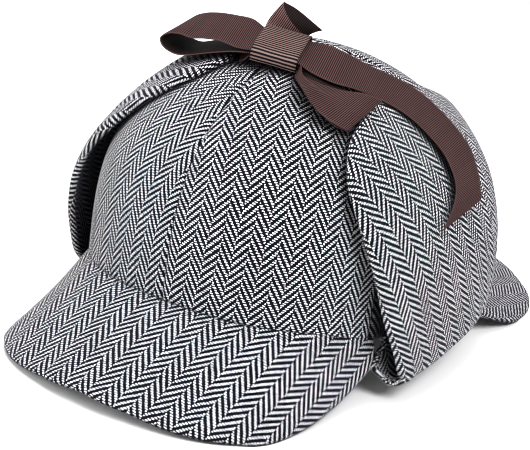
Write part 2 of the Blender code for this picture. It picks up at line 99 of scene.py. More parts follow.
TIE_LEFT = {"x": (16.6, 19.2), "y": (-29.4, -25.8), "z": (103.0, 102.8), "yaw": (8, 3), "tilt": (11, 10), "width": (16, 18)}
TIE_RIGHT = {"x": (-10.6, -14.6), "y": (-40.2, -39.4), "z": (102.9, 101.2), "yaw": (22, 27), "tilt": (16, 15), "width": (20, 22)}
SHORT_TAIL = {"x_left": (-10.3, -12.4, -12.0, -8.8, -4.6), "y_left": (-26.2, -26.2, -24.8, -25.4, -26.2), "z_left": (109.7, 111.4, 115.0, 119.8, 124.9),
              "x_mid": (-0.9, -3.2, -2.2, 0.6, 2.8), "y_mid": (-22.9, -23.9, -24.6, -26.0, -27.0), "z_mid": (108.7, 111.0, 114.6, 118.8, 122.8),
              "x_right": (8.5, 6.5, 8.6, 11.4, 14.4), "y_right": (-19.6, -20.6, -22.0, -23.6, -24.8), "z_right": (107.8, 110.3, 112.8, 114.6, 116.0)}
KNOT_CENTRE, KNOT_YAW, KNOT_TILT = (4.0, -37.4, 106.9), 18.0, 15.0
KNOT_LENGTH, KNOT_SECTION, RIBBON_THICK, RIBBON_WIDTH = 21.0, (28.4, 9.2), 1.0, 25.0
IN_KNOT = {"loop_top": (0.0, 1.0, 22.0), "loop_bottom": (0.0, -0.4, 22.0), "tie_right": (0.0, -2.4, 18.0),
           "tail": (0.0, 0.9, 22.0), "small_front": (-8.2, -1.2, 7.6), "small_back": (-7.4, -2.0, 7.6),
           "tie_left": (3.6, -2.2, 10.0)}

# ------------------------------------------------------------------ surface detail, mm
WARP, WEFT, COLUMN = 0.78, 1.00, 8      # thread pitches of the tweed, and warp threads in a herringbone column
RIB, KNOT_RIB = 0.9, 1.70               # pitch of the grosgrain's ribs, and where it is drawn taut round the knot
RIB_RELIEF = 0.13
SEAM_DIP, SEAM_HALF = 0.85, 1.15        # how deep and how wide the cloth dips into a seam


# ------------------------------------------------------------------ curves and the crown's surface
def smooth(xs, ys, x, mirrored=False):
    xs, ys = np.asarray(xs, float), np.asarray(ys, float)
    step = np.diff(xs)
    slope = np.diff(ys) / step
    inner = np.where(slope[:-1] * slope[1:] > 0,
                     2 * slope[:-1] * slope[1:] / np.where(slope[:-1] + slope[1:] == 0, 1, slope[:-1] + slope[1:]), 0.0)
    m = np.concatenate([[0.0 if mirrored else slope[0]], inner, [slope[-1]]])
    x = np.clip(np.asarray(x, float), xs[0], xs[-1])
    i = np.clip(np.searchsorted(xs, x, side="right") - 1, 0, len(step) - 1)
    t = (x - xs[i]) / step[i]
    return ((2 * t ** 3 - 3 * t ** 2 + 1) * ys[i] + (t ** 3 - 2 * t ** 2 + t) * step[i] * m[i]
            + (-2 * t ** 3 + 3 * t ** 2) * ys[i + 1] + (t ** 3 - t ** 2) * step[i] * m[i + 1])


def spline_at(values, u):
    """Points of the Catmull-Rom curve through the rows of a table, at the row numbers u."""
    v = np.asarray(values, float)
    p = np.vstack([2 * v[:1] - v[1:2], v, 2 * v[-1:] - v[-2:-1]])
    u = np.clip(np.asarray(u, float), 0, len(v) - 1)
    i = np.minimum(u.astype(int), len(v) - 2)
    t = (u - i)[:, None]
    a, b, c, d = p[i], p[i + 1], p[i + 2], p[i + 3]
    return 0.5 * (2 * b + (c - a) * t + (2 * a - 5 * b + 4 * c - d) * t ** 2 + (3 * b - a - 3 * c + d) * t ** 3)


def unit(v):
    return v / np.maximum(np.linalg.norm(v, axis=-1, keepdims=True), 1e-12)


def gauss(d, width):
    return np.exp(-(d / width) ** 2)


_t = np.linspace(0.0, math.pi / 2, 2001)
_rho = np.cos(_t) ** (2 / DOME_SHOULDER)
_z = CROWN_RISE * np.sin(_t) ** (2 / DOME_FLATNESS)
_arc = np.concatenate([[0.0], np.cumsum(np.hypot(np.diff(_rho) * (HALF_LENGTH + HALF_WIDTH) / 2, np.diff(_z)))])
MERIDIAN = _arc[-1]


def head_outline(angle):
    a = np.radians(angle)
    s, c = np.sin(a), np.cos(a)
    k = (np.abs(s) ** SQUARENESS + np.abs(c) ** SQUARENESS) ** (-1 / SQUARENESS)
    return HALF_WIDTH * k * s, -HALF_LENGTH * k * c


def crown(angle, rise, off=0.0):
    angle, rise, off = np.broadcast_arrays(np.asarray(angle, float), np.asarray(rise, float), np.asarray(off, float))
    up = np.clip(rise, 0, 1) * MERIDIAN
    rho = np.interp(up, _arc, _rho) ** (1 - BACK_FULLNESS * (1 - np.cos(np.radians(angle))) / 2)
    z = np.where(rise > 0, np.interp(up, _arc, _z), rise * MERIDIAN)
    x0, y0 = head_outline(angle)
    share = np.clip(z / CROWN_RISE, 0, 1)
    a = np.radians(angle)
    return np.stack([x0 * rho + off * np.sin(a) * rho,
                     y0 * rho - off * np.cos(a) * rho + TOP_LEAN * share ** 2,
                     z + off * share ** 3], -1)


def crown_normal(angle, rise):
    rise = np.minimum(rise, 0.985)
    e = 1e-3
    du = crown(angle + 0.5, rise) - crown(angle - 0.5, rise)
    dv = crown(angle, rise + e) - crown(angle, rise - e)
    return unit(np.cross(du, dv))


def rise_at(z):
    return np.where(z > 0, np.interp(z, _z, _arc) / MERIDIAN, z / MERIDIAN)


def rim_z(angle):
    return smooth(RIM["angle"], RIM["z"], np.abs(((np.asarray(angle, float) + 180) % 360) - 180), mirrored=True)


def outward(angle):
    a, e = np.asarray(angle, float), 0.2
    x0, y0 = head_outline(a - e)
    x1, y1 = head_outline(a + e)
    d = unit(np.stack([x1 - x0, y1 - y0], -1))
    return np.stack([d[..., 1], -d[..., 0], np.zeros_like(a)], -1)


def softness(p, size, seed):
    """A slow, gentle unevenness of a cloth surface at the points p, about -1 to 1."""
    k = 2 * math.pi / size
    x, y, z = p[..., 0], p[..., 1], p[..., 2]
    return (np.sin(k * (0.9 * x + 0.5 * z) + seed) * np.cos(k * (0.7 * y - 0.6 * z) + 1.7 * seed)
            + 0.6 * np.sin(k * 1.7 * (0.6 * y + 0.5 * x) + 2.3 * seed) * np.cos(k * 1.5 * (0.8 * z - 0.4 * x) + 0.6 * seed)) / 1.4


# ------------------------------------------------------------------ meshes
def to_world(p):
    p = np.array(p, float)
    return (p + np.array([SHIFT[0], SHIFT[1], -FLOOR_LEVEL])) * 0.001


class Builder:
    """Collects blocks of points and faces, with a UV for every corner of a face."""

    def __init__(self):
        self.v, self.n, self.f, self.uv, self.m = [], 0, [], [], []

    def points(self, p):
        p = np.asarray(p, float)
        index = np.arange(self.n, self.n + p[..., 0].size).reshape(p.shape[:-1])
        self.v.append(p.reshape(-1, 3))
        self.n += p[..., 0].size
        return index

    def faces(self, f, uv, slot=0):
        self.f += np.asarray(f).tolist()
        self.uv.append(np.asarray(uv, float).reshape(-1, 2))
        self.m += [slot] * len(f)

    def grid(self, index, uv, slot=0, flip=False):
        def corners(a):
            c = [a[:-1, :-1], a[:-1, 1:], a[1:, 1:], a[1:, :-1]]
            if flip:
                c = c[::-1]
            return np.stack([x.reshape(-1, *a.shape[2:]) for x in c], 1)
        self.faces(corners(index), corners(uv), slot)

    def make(self, name, materials):
        mesh = bpy.data.meshes.new(name)
        mesh.from_pydata((np.vstack(self.v)).tolist(), [], self.f)
        layer = mesh.uv_layers.new(name="cloth")
        layer.data.foreach_set("uv", np.vstack(self.uv).ravel().astype(np.float32))
        for m in materials:
            mesh.materials.append(m)
        mesh.polygons.foreach_set("material_index", np.array(self.m, np.int32))
        mesh.shade_smooth()
        mesh.validate(clean_customdata=False)
        mesh.update()
        ob = bpy.data.objects.new(name + "_cloth", mesh)
        bpy.context.scene.collection.objects.link(ob)
        return ob


def loop_of(rows, cols):
    """Grid places round the border of a grid, anticlockwise in (row, column), starting at (0, 0)."""
    return ([(0, j) for j in range(cols - 1)] + [(i, cols - 1) for i in range(rows - 1)]
            + [(rows - 1, j) for j in range(cols - 1, 0, -1)] + [(i, 0) for i in range(rows - 1, 0, -1)])


def slab(name, face, back, uv, coarse, materials, rounding, edge_rows=4, back_slot=1, uv_back=None, floor=False):
    """A closed sheet: a fine face grid, a back grid `coarse` times coarser, and a border between
    them that bulges out by `rounding` (a number, or four for the first row, last column, last row
    and first column)."""
    b = Builder()
    rows, cols = face.shape[:2]
    back_c = back[::coarse, ::coarse]
    uv_c = (uv if uv_back is None else uv_back)[::coarse, ::coarse]
    r, c = back_c.shape[:2]
    ring = loop_of(rows, cols)
    ii, jj = np.array([p[0] for p in ring]), np.array([p[1] for p in ring])
    edge_face, edge_back = face[ii, jj], back[ii, jj]
    # which way is out at the border: away from the neighbour inside
    ri = np.clip(ii, 1, rows - 2)
    rj = np.clip(jj, 1, cols - 2)
    inner = (face[ri, rj] + back[ri, rj]) / 2
    middle = (edge_face + edge_back) / 2
    across = edge_face - edge_back
    # along a side the neighbour inside is in the same row or column
    side_i = (ii == 0) | (ii == rows - 1)
    side_j = (jj == 0) | (jj == cols - 1)
    inner_i = (face[ri, jj] + back[ri, jj]) / 2
    inner_j = (face[ii, rj] + back[ii, rj]) / 2
    out_i, out_j = unit(middle - inner_i), unit(middle - inner_j)
    out = np.where((side_i & side_j)[:, None], unit(out_i + out_j), np.where(side_i[:, None], out_i, out_j))
    out = unit(out - unit(across) * np.sum(out * unit(across), -1, keepdims=True))
    uv_in = np.where((side_i & side_j)[:, None], uv[ri, rj], np.where(side_i[:, None], uv[ri, jj], uv[ii, rj]))
    uv_out = unit(uv[ii, jj] - uv_in)
    if np.ndim(rounding) == 0:
        rounding = (rounding,) * 4
    amount = np.zeros(len(ring))
    amount[ii == 0] = rounding[0]
    amount[ii == rows - 1] = rounding[2]
    amount[(jj == cols - 1) & ~side_i] = rounding[1]
    amount[(jj == 0) & ~side_i] = rounding[3]
    corner = side_i & side_j
    amount[corner] = (np.array(rounding).min() + np.array(rounding).mean()) / 2 if max(rounding) > 0 else 0

    if floor:
        def press(p):
            p = p.copy()
            p[..., 2] = np.maximum(p[..., 2], FLOOR_LEVEL)
            return p
    else:
        def press(p):
            return p
    f_i = b.points(to_world(press(face)))
    b.grid(f_i, uv, 0)
    b_i = b.points(to_world(press(back_c)))
    b.grid(b_i, uv_c, back_slot, flip=True)
    # the border's rings, from the face to the back
    rings, ring_uv = [f_i[ii, jj]], [uv[ii, jj]]
    half = np.linalg.norm(across, axis=1) / 2
    run = np.zeros(len(ring))
    last = edge_face
    for k in range(1, edge_rows):
        a = math.pi * k / edge_rows
        p = middle + across / 2 * math.cos(a) + out * (amount * math.sin(a))[:, None]
        run = run + np.linalg.norm(p - last, axis=1)
        last = p
        rings.append(b.points(to_world(press(p))))
        ring_uv.append(uv[ii, jj] + uv_out * (run * 0.001)[:, None])
    n = len(ring)
    for q in range(len(rings) - 1):
        a0, a1 = rings[q], rings[q + 1]
        u0, u1 = ring_uv[q], ring_uv[q + 1]
        nx = np.roll(np.arange(n), -1)
        f = np.stack([a0, a1, a1[nx], a0[nx]], 1)
        g = np.stack([u0, u1, u1[nx], u0[nx]], 1)
        b.faces(f, g, 0)
    # the last ring meets the coarser back border in fans
    place = {}
    for k, (i, j) in enumerate(ring):
        if i % coarse == 0 and j % coarse == 0:
            place[k] = b_i[i // coarse, j // coarse]
    run_end = run + np.linalg.norm(edge_back - last, axis=1)
    keys = sorted(place)
    fr, fu = rings[-1], ring_uv[-1]
    end_uv = uv[ii, jj] + uv_out * (run_end * 0.001)[:, None]
    tri, tuv = [], []
    for q, k0 in enumerate(keys):
        k1 = keys[(q + 1) % len(keys)]
        span = (k1 - k0) % n
        p0, p1 = place[k0], place[k1]
        half_way = span // 2
        for s in range(span):
            x, y = (k0 + s) % n, (k0 + s + 1) % n
            if s < half_way:
                tri.append((fr[x], p0, fr[y])); tuv.append((fu[x], end_uv[k0], fu[y]))
            else:
                tri.append((fr[x], p1, fr[y])); tuv.append((fu[x], end_uv[k1], fu[y]))
        x = (k0 + half_way) % n
        tri.append((fr[x], p0, p1)); tuv.append((fu[x], end_uv[k0], end_uv[k1]))
    b.faces(tri, tuv, 0)
    return b.make(name, materials)


def across_lengths(grid, start):
    """Distance along each row from the column `start`, mm."""
    d = np.linalg.norm(np.diff(grid, axis=1), axis=2)
    s = np.concatenate([np.zeros((grid.shape[0], 1)), np.cumsum(d, 1)], 1)
    return s - s[:, start:start + 1]


def along_lengths(grid, column):
    """Distance along one column from the first row, mm."""
    d = np.linalg.norm(np.diff(grid[:, column], axis=0), axis=1)
    return np.concatenate([[0.0], np.cumsum(d)])


CUT = {}                                # each panel's flat size: width, length and area, metres


def cut_size(name, u, v, grid):
    """Notes the size of the flat cut: the box of its flat pattern, and the cloth's area."""
    d = np.cross(grid[1:, 1:] - grid[:-1, :-1], grid[1:, :-1] - grid[:-1, 1:])
    area = float(np.linalg.norm(d, axis=-1).sum() / 2) * 1e-6
    width, length = float(np.ptp(u)) * 0.001, float(np.ptp(v)) * 0.001
    CUT[name] = (round(width, 3), round(length, 3), round(min(area, width * length), 5))


def laid_flat(grid, u, v, step=8, rounds=1500):
    """Flat pattern of a bent sheet: a net over it is let go slack in the plane, until every one of its
    strands has its own length again.  Starts from the rough flat coordinates u and v, mm."""
    def lengths(i, j):
        """Length over the cloth of the strands that go i nodes down and j nodes across."""
        k = np.arange(step + 1)
        r = np.arange(0, grid.shape[0] - step * i, step)
        if j < 0:
            c = np.arange(step, grid.shape[1], step)
        else:
            c = np.arange(0, grid.shape[1] - step * j, step)
        p = grid[r[:, None, None] + i * k, c[None, :, None] + j * k]
        return np.linalg.norm(np.diff(p, axis=2), axis=3).sum(2)

    flat = np.stack([u, v], -1)[::step, ::step]
    start = flat.copy()
    strands = []
    for i, j in ((0, 1), (1, 0), (1, 1), (1, -1)):
        a = (slice(0, -1) if i else slice(None), slice(0, -1) if j > 0 else slice(1, None) if j < 0 else slice(None))
        b = (slice(1, None) if i else slice(None), slice(1, None) if j > 0 else slice(0, -1) if j < 0 else slice(None))
        strands.append((a, b, lengths(i, j)))
    for _ in range(rounds):
        move = np.zeros_like(flat)
        for a, b, rest in strands:
            d = flat[b] - flat[a]
            now = np.linalg.norm(d, axis=-1)
            pull = d * (0.5 * (1 - rest / np.maximum(now, 1e-9)))[..., None]
            move[a] += pull
            move[b] -= pull
        flat = flat + move * 0.24
    change = flat - start
    rows, cols = np.arange(grid.shape[0]) / step, np.arange(grid.shape[1]) / step
    change = np.stack([spline_at(change[:, k], rows) for k in range(change.shape[1])], 1)
    change = np.stack([spline_at(change[k], cols) for k in range(grid.shape[0])], 0)
    return u + change[..., 0], v + change[..., 1]


def turned(u, v, degrees, du=0.0, dv=0.0):
    """Cloth coordinates in metres, with the grain turned against the panel."""
    a = math.radians(degrees)
    return np.stack([(u * math.cos(a) + v * math.sin(a) + du) * 0.001,
                     (-u * math.sin(a) + v * math.cos(a) + dv) * 0.001], -1)


# ------------------------------------------------------------------ materials
class Shader:
    """A short way to write node trees."""

    def __init__(self, name):
        self.m = bpy.data.materials.new(name)
        self.m.use_nodes = True
        self.t = self.m.node_tree
        self.t.nodes.clear()
        self.out = self.t.nodes.new("ShaderNodeOutputMaterial")
        self.b = self.t.nodes.new("ShaderNodeBsdfPrincipled")
        self.t.links.new(self.b.outputs[0], self.out.inputs[0])

    def put(self, socket, value):
        if isinstance(value, bpy.types.NodeSocket):
            self.t.links.new(value, socket)
        elif isinstance(value, (tuple, list)) and socket.type == "RGBA":
            socket.default_value = (*value, 1.0)[:4]
        else:
            socket.default_value = value

    def math(self, op, a, b=0.0, c=0.0, clamp=False):
        n = self.t.nodes.new("ShaderNodeMath")
        n.operation, n.use_clamp = op, clamp
        for s, v in zip(n.inputs, (a, b, c)):
            self.put(s, v)
        return n.outputs[0]

    def add(self, a, b): return self.math("ADD", a, b)
    def sub(self, a, b): return self.math("SUBTRACT", a, b)
    def mul(self, a, b): return self.math("MULTIPLY", a, b)
    def floor(self, a): return self.math("FLOOR", a)
    def mod(self, a, b): return self.math("FLOORED_MODULO", a, b)
    def power(self, a, b): return self.math("POWER", a, b)
    def abs(self, a): return self.math("ABSOLUTE", a)
    def sqrt(self, a): return self.math("SQRT", self.math("MAXIMUM", a, 0.0))
    def max(self, a, b): return self.math("MAXIMUM", a, b)
    def min(self, a, b): return self.math("MINIMUM", a, b)

    def step(self, x, low, high):
        n = self.t.nodes.new("ShaderNodeMapRange")
        n.interpolation_type = "SMOOTHSTEP"
        for k, v in (("Value", x), ("From Min", low), ("From Max", high), ("To Min", 0.0), ("To Max", 1.0)):
            self.put(n.inputs[k], v)
        return n.outputs[0]

    def ramp(self, x, low, high, to_low, to_high):
        n = self.t.nodes.new("ShaderNodeMapRange")
        for k, v in (("Value", x), ("From Min", low), ("From Max", high), ("To Min", to_low), ("To Max", to_high)):
            self.put(n.inputs[k], v)
        return n.outputs[0]

    def uv(self):
        n = self.t.nodes.new("ShaderNodeUVMap")
        n.uv_map = "cloth"
        s = self.t.nodes.new("ShaderNodeSeparateXYZ")
        self.t.links.new(n.outputs[0], s.inputs[0])
        return n.outputs[0], s.outputs[0], s.outputs[1]

    def vector(self, x, y, z=0.0):
        n = self.t.nodes.new("ShaderNodeCombineXYZ")
        for s, v in zip(n.inputs, (x, y, z)):
            self.put(s, v)
        return n.outputs[0]

    def place(self):
        n = self.t.nodes.new("ShaderNodeTexCoord")
        return n.outputs["Object"]

    def noise(self, vector, scale, detail=2.0, rough=0.5):
        n = self.t.nodes.new("ShaderNodeTexNoise")
        self.put(n.inputs["Vector"], vector)
        n.inputs["Scale"].default_value = scale
        n.inputs["Detail"].default_value = detail
        n.inputs["Roughness"].default_value = rough
        return n.outputs[0]

    def white(self, vector):
        n = self.t.nodes.new("ShaderNodeTexWhiteNoise")
        n.noise_dimensions = "3D"
        self.put(n.inputs["Vector"], vector)
        return n.outputs[0]

    def mix(self, fac, a, b, mode="MIX"):
        n = self.t.nodes.new("ShaderNodeMix")
        n.data_type, n.blend_type = "RGBA", mode
        self.put(n.inputs[0], fac)
        self.put(n.inputs[6], a)
        self.put(n.inputs[7], b)
        return n.outputs[2]

    def paint_crease_shade(self, reach, dark):
        """Painted shade: 1 on open cloth, down to `dark` in folds and pockets closer than `reach` metres, found by
        ambient occlusion.
        """
        n = self.t.nodes.new("ShaderNodeAmbientOcclusion")
        n.samples = 6
        n.inputs["Distance"].default_value = reach
        return self.ramp(self.step(n.outputs["AO"], 0.30, 0.90), 0.0, 1.0, dark, 1.0)

    def bump(self, height, distance, strength=1.0, normal=None):
        n = self.t.nodes.new("ShaderNodeBump")
        n.inputs["Strength"].default_value = strength
        n.inputs["Distance"].default_value = distance
        self.put(n.inputs["Height"], height)
        if normal is not None:
            self.put(n.inputs["Normal"], normal)
        return n.outputs[0]

    def set(self, **values):
        for k, v in values.items():
            self.put(self.b.inputs[k.replace("_", " ")], v)
        return self.m


def tweed(name, white=(0.875, 0.87, 0.90), black=(0.002, 0.002, 0.004), fill=1.0, crease_shade=(0.016, 0.10)):
    """Herringbone tweed: white weft over black warp, two up and two down, turning at every column."""
    s = Shader(name)
    uv, u, v = s.uv()
    drift = s.noise(uv, 70.0, 1.0)
    drift2 = s.noise(s.vector(s.add(u, 3.1), s.add(v, 1.7)), 70.0, 1.0)
    jit = s.noise(uv, 900.0, 1.0)
    jit2 = s.noise(s.vector(s.add(u, 5.3), s.add(v, 2.9)), 900.0, 1.0)
    U = s.add(s.mul(u, 1000.0 / WARP), s.add(s.mul(s.sub(drift, 0.5), 1.1), s.mul(s.sub(jit, 0.5), 1.05)))
    V = s.add(s.mul(v, 1000.0 / WEFT), s.add(s.mul(s.sub(drift2, 0.5), 0.9), s.mul(s.sub(jit2, 0.5), 0.8)))
    col = s.floor(s.mul(U, 1.0 / COLUMN))
    way = s.sub(1.0, s.mul(s.mod(col, 2.0), 2.0))
    i, j = s.floor(U), s.floor(V)
    f, t = s.sub(U, i), s.sub(V, j)
    # neighbouring columns are offset by half a repeat, so that the stripes break at the turn
    shift = s.mul(s.mod(col, 2.0), 2.0)
    # the weft float that lies here: how far along it, and how far across
    along = s.abs(s.sub(s.mod(s.add(s.add(s.add(s.mul(way, U), j), shift), 1.0), 4.0), 2.0))
    across = s.abs(s.sub(s.mul(t, 2.0), 1.0))
    weft = s.sqrt(s.sub(s.sub(1.0, s.power(s.mul(along, 1 / 1.09), 4.0)), s.mul(s.mul(across, across), 1.75)))
    # the warp float
    b_along = s.abs(s.sub(s.mod(s.add(s.add(s.add(s.mul(way, s.add(i, 0.5)), V), shift), 2.5), 4.0), 2.0))
    b_across = s.abs(s.sub(s.mul(f, 2.0), 1.0))
    warp = s.sqrt(s.sub(s.sub(1.0, s.power(s.mul(b_along, 1 / 1.1), 4.0)), s.mul(s.mul(b_across, b_across), 1.05)))
    weft_up = s.mul(weft, 1.12 * fill)
    is_white = s.step(s.sub(weft_up, s.mul(warp, 0.92)), 0.34, 0.62)
    height = s.max(weft_up, warp)
    yarn = s.white(s.vector(j, s.floor(s.mul(s.add(s.mul(way, U), j), 0.25)), 0.0))
    fibre = s.noise(uv, 4200.0, 3.0, 0.65)
    cloud = s.noise(uv, 26.0, 3.0)
    # painted shade and random tone: a white float is painted darker towards its ends and edges, where it dips into the
    # cloth, and varies at random by yarn, fibre and cloud
    light = s.mul(s.ramp(weft, 0.0, 1.0, 0.62, 1.0), s.mul(s.ramp(yarn, 0.0, 1.0, 0.76, 1.06), s.mul(s.ramp(fibre, 0.25, 0.75, 0.86, 1.06), s.ramp(cloud, 0.3, 0.7, 0.95, 1.03))))
    pale = s.mix(1.0, white, s.vector(light, light, light), "MULTIPLY")
    # painted shade and random tone: a black thread is painted darker where it dips into the cloth and lighter on its
    # crown, and varies at random by fibre
    warp_shade_and_tone = s.mul(s.ramp(warp, 0.0, 1.0, 0.45, 1.25), s.ramp(fibre, 0.25, 0.75, 0.6, 1.5))
    dark = s.mix(1.0, black, s.vector(warp_shade_and_tone, warp_shade_and_tone, warp_shade_and_tone), "MULTIPLY")
    colour = s.mix(is_white, dark, pale)
    # painted shade: the colour is darkened in folds and pockets by ambient occlusion
    crease_shade = s.paint_crease_shade(*crease_shade)
    colour = s.mix(1.0, colour, s.vector(crease_shade, crease_shade, crease_shade), "MULTIPLY")
    relief = s.add(height, s.mul(fibre, 0.22))
    normal = s.bump(relief, 0.00030, 0.85)
    return s.set(Base_Color=colour, Roughness=0.88, Normal=normal, Sheen_Weight=0.05, Sheen_Roughness=0.5,
                 Sheen_Tint=(0.72, 0.70, 1.0), Specular_IOR_Level=0.03)


def grosgrain(name, top=(0.094, 0.047, 0.046), groove=(0.002, 0.001, 0.001), low=0.80, high=1.0):
    """Ribbed ribbon: fine warp threads over thick filling, a rib every RIB mm, and a flat selvedge."""
    s = Shader(name)
    uv, u, v = s.uv()
    wob = s.noise(uv, 160.0, 1.0)
    p = s.add(s.mul(v, 1000.0 / RIB), s.mul(s.sub(wob, 0.5), 0.25))
    saw = s.abs(s.sub(s.mul(s.sub(p, s.floor(p)), 2.0), 1.0))       # 1 in the groove, 0 on the rib
    rib = s.sqrt(s.sub(1.0, s.mul(saw, saw)))
    shade = s.step(rib, low, high)
    thread = s.math("SINE", s.mul(s.add(u, s.mul(s.floor(p), 0.00011)), 2 * math.pi / 0.00030))
    fine = s.noise(s.vector(s.mul(u, 5.0), v), 1500.0, 2.0, 0.6)
    cloud = s.noise(uv, 45.0, 2.0)
    rib_tone = s.white(s.vector(s.floor(p), 0.0, 0.0))
    light = s.mul(s.ramp(fine, 0.3, 0.7, 0.82, 1.16), s.mul(s.ramp(cloud, 0.3, 0.7, 0.92, 1.08), s.ramp(rib_tone, 0.0, 1.0, 0.9, 1.08)))
    lit = s.mix(1.0, top, s.vector(light, light, light), "MULTIPLY")
    # painted shade: the grooves between the ribs are painted near-black, the rib tops in their lit colour
    colour = s.mix(shade, groove, lit)
    edge = s.step(s.abs(u), 0.01165, 0.0121)
    colour = s.mix(s.mul(edge, 0.55), colour, tuple(0.75 * c for c in top))
    height = s.add(rib, s.add(s.mul(thread, 0.05), s.mul(fine, 0.10)))
    normal = s.bump(height, 0.00016, 0.8)
    return s.set(Base_Color=colour, Roughness=0.6, Normal=normal, Sheen_Weight=0.0, Specular_IOR_Level=0.10)


TWEED = tweed("herringbone_tweed", fill=0.955)
# painted shade: the crown's copy is darkened in the pockets behind the flaps and behind the bow, the side gores' copy
# is darkened deep under the flaps, and the back peak's copy is painted darker all over as the shade it lies in
TWEED_CROWN = tweed("herringbone_tweed_crown", fill=1.02, crease_shade=(0.010, 0.08))
TWEED_UNDER_FLAPS_PAINTED_SHADE = tweed("herringbone_tweed_under_flaps_painted_shade", fill=1.01, crease_shade=(0.034, 0.02))
# painted shade: the back peak's copy has its whites painted darker and its blacks a little lighter
TWEED_BACK_PEAK_PAINTED_SHADE = tweed("herringbone_tweed_back_peak_painted_shade", white=(0.70, 0.70, 0.735), black=(0.010, 0.010, 0.013))
TWEED_BACK = tweed("herringbone_tweed_wrong_side", white=(0.66, 0.66, 0.68), black=(0.003, 0.003, 0.006), fill=0.94,
                   crease_shade=(0.024, 0.12))
RIBBON = grosgrain("brown_grosgrain")
# painted shade and painted light: the loops' inner faces and the short tail's folded-back part take a copy painted dark
# as shade, the short tail's front and the knot take copies painted lighter as lit; the ribs of the taut knot stand
# further apart
RIBBON_PAINTED_SHADE = grosgrain("brown_grosgrain_wrong_side", top=(0.020, 0.011, 0.011), groove=(0.002, 0.001, 0.001))
# painted light: the short tail's front face is painted lighter as lit
RIBBON_SHORT_TAIL_PAINTED_LIGHT = grosgrain("brown_grosgrain_short_tail_painted_light", top=(0.210, 0.115, 0.112), low=0.70)
# painted light: the knot's rib tops are painted brighter as lit highlights
RIBBON_KNOT_PAINTED_LIGHT = grosgrain("brown_grosgrain_taut_painted_light", top=(0.190, 0.126, 0.116), groove=(0.002, 0.001, 0.001), low=0.80, high=1.0)


# ------------------------------------------------------------------ crown: six gores
GORE = {"crown_front_left": dict(grain=-5.5, du=0.0, dv=0.0, seed=0.4, ease=1.015),
        "crown_side_left": dict(grain=0.0, du=2.0, dv=1.0, seed=1.3),
        "crown_back_left": dict(grain=-3.0, du=1.0, dv=0.5, seed=2.2),
        "crown_back_right": dict(grain=3.0, du=4.0, dv=2.0, seed=3.1),
        "crown_side_right": dict(grain=0.0, du=3.0, dv=1.5, seed=4.4),
        "crown_front_right": dict(grain=-4.0, du=2.5, dv=0.0, seed=5.2, ease=1.12)}
TOP_HOLE, RIM_TURN = 0.6, -0.25


def gore(name, first, last, rows=181, cols=145, coarse=4):
    facts = GORE[name]
    share_r = np.linspace(0, 1, rows)
    share_c = np.linspace(0, 1, cols)
    # columns closer together beside the seams, where the cloth dips
    w = 0.16
    share_c = share_c - w * np.sin(2 * math.pi * share_c) / (2 * math.pi)
    base = np.empty((rows, cols, 3))
    ang = np.empty((rows, cols))
    ris = np.empty((rows, cols))
    for k, s in enumerate(share_r):
        ends = []
        for edge, sign in ((first, 1), (last, -1)):
            low = rise_at(rim_z(edge) + RIM_TURN)
            rise = low + (1 - TOP_HOLE / MERIDIAN - low) * s
            p = crown(edge, rise)
            radius = math.hypot(p[0], p[1] - TOP_LEAN * min(1, max(0, p[2] / CROWN_RISE)) ** 2)
            ends.append(edge + sign * math.degrees(0.035 / max(radius, 0.25)))
        ang[k] = ends[0] + (ends[1] - ends[0]) * share_c
        low = rise_at(rim_z(ang[k]) + RIM_TURN)
        ris[k] = low + (1 - TOP_HOLE / MERIDIAN - low) * s
    base = crown(ang, ris)
    normal = crown_normal(ang, ris)
    # distances to the two seams and to the lower edge
    radius = np.hypot(base[..., 0], base[..., 1] - TOP_LEAN * np.clip(base[..., 2] / CROWN_RISE, 0, 1) ** 2)
    to_seam = np.minimum(ang - first, last - ang) * math.pi / 180 * radius
    v_line = along_lengths(base, cols // 2)
    height = v_line[:, None] * np.ones_like(ang)
    lift = -SEAM_DIP * gauss(to_seam, SEAM_HALF)
    # slight fullness and puckers along the seams
    side = np.where(ang - first < last - ang, 1.0, -1.0)
    lift += 0.16 * gauss(to_seam - 4.0, 3.2) * (0.55 + 0.45 * np.sin(height * 0.52 + 1.9 * side + facts["seed"] * 3) * np.sin(height * 0.137 + facts["seed"]))
    # the lower edge turns in over its seam with the peak
    lift -= 0.35 * np.clip(1 - height / 1.6, 0, 1) ** 2
    lift += 0.18 * softness(base, 62.0, facts["seed"]) * np.clip(to_seam / 8, 0, 1)
    face = base + normal * lift[..., None]
    back = base - normal * (CROWN_CLOTH - 0.25 * gauss(to_seam, 3.0))[..., None]
    # the cloth's own coordinates: flat pattern of a gore cut straight along its middle
    u = across_lengths(base, cols // 2)
    shrink = -np.gradient(radius[:, cols // 2]) / np.maximum(np.gradient(v_line), 1e-6)
    bow = u ** 2 * np.clip(shrink, 0, 1)[:, None] / (2 * np.maximum(radius[:, cols // 2], 4.0))[:, None]
    cut_size(name, u, v_line[:, None] + bow, base)
    uv = turned(u * facts.get("ease", 1.0), v_line[:, None] + bow, facts["grain"], facts["du"], facts["dv"])
    # the side gores, under the flaps, take the copy with deep painted shade
    return slab(name, face, back, uv, coarse, [TWEED_UNDER_FLAPS_PAINTED_SHADE if "side" in name else TWEED_CROWN, TWEED_BACK], (0.0, 0.0, 0.0, 0.0), edge_rows=2)


PIECES = []
seams = list(GORE_SEAMS) + [360 - a for a in GORE_SEAMS[-2::-1]]
for name, first, last in zip(("crown_front_left", "crown_side_left", "crown_back_left",
                              "crown_back_right", "crown_side_right", "crown_front_right"), seams[:-1], seams[1:]):
    PIECES.append((name, gore(name, first, last)))


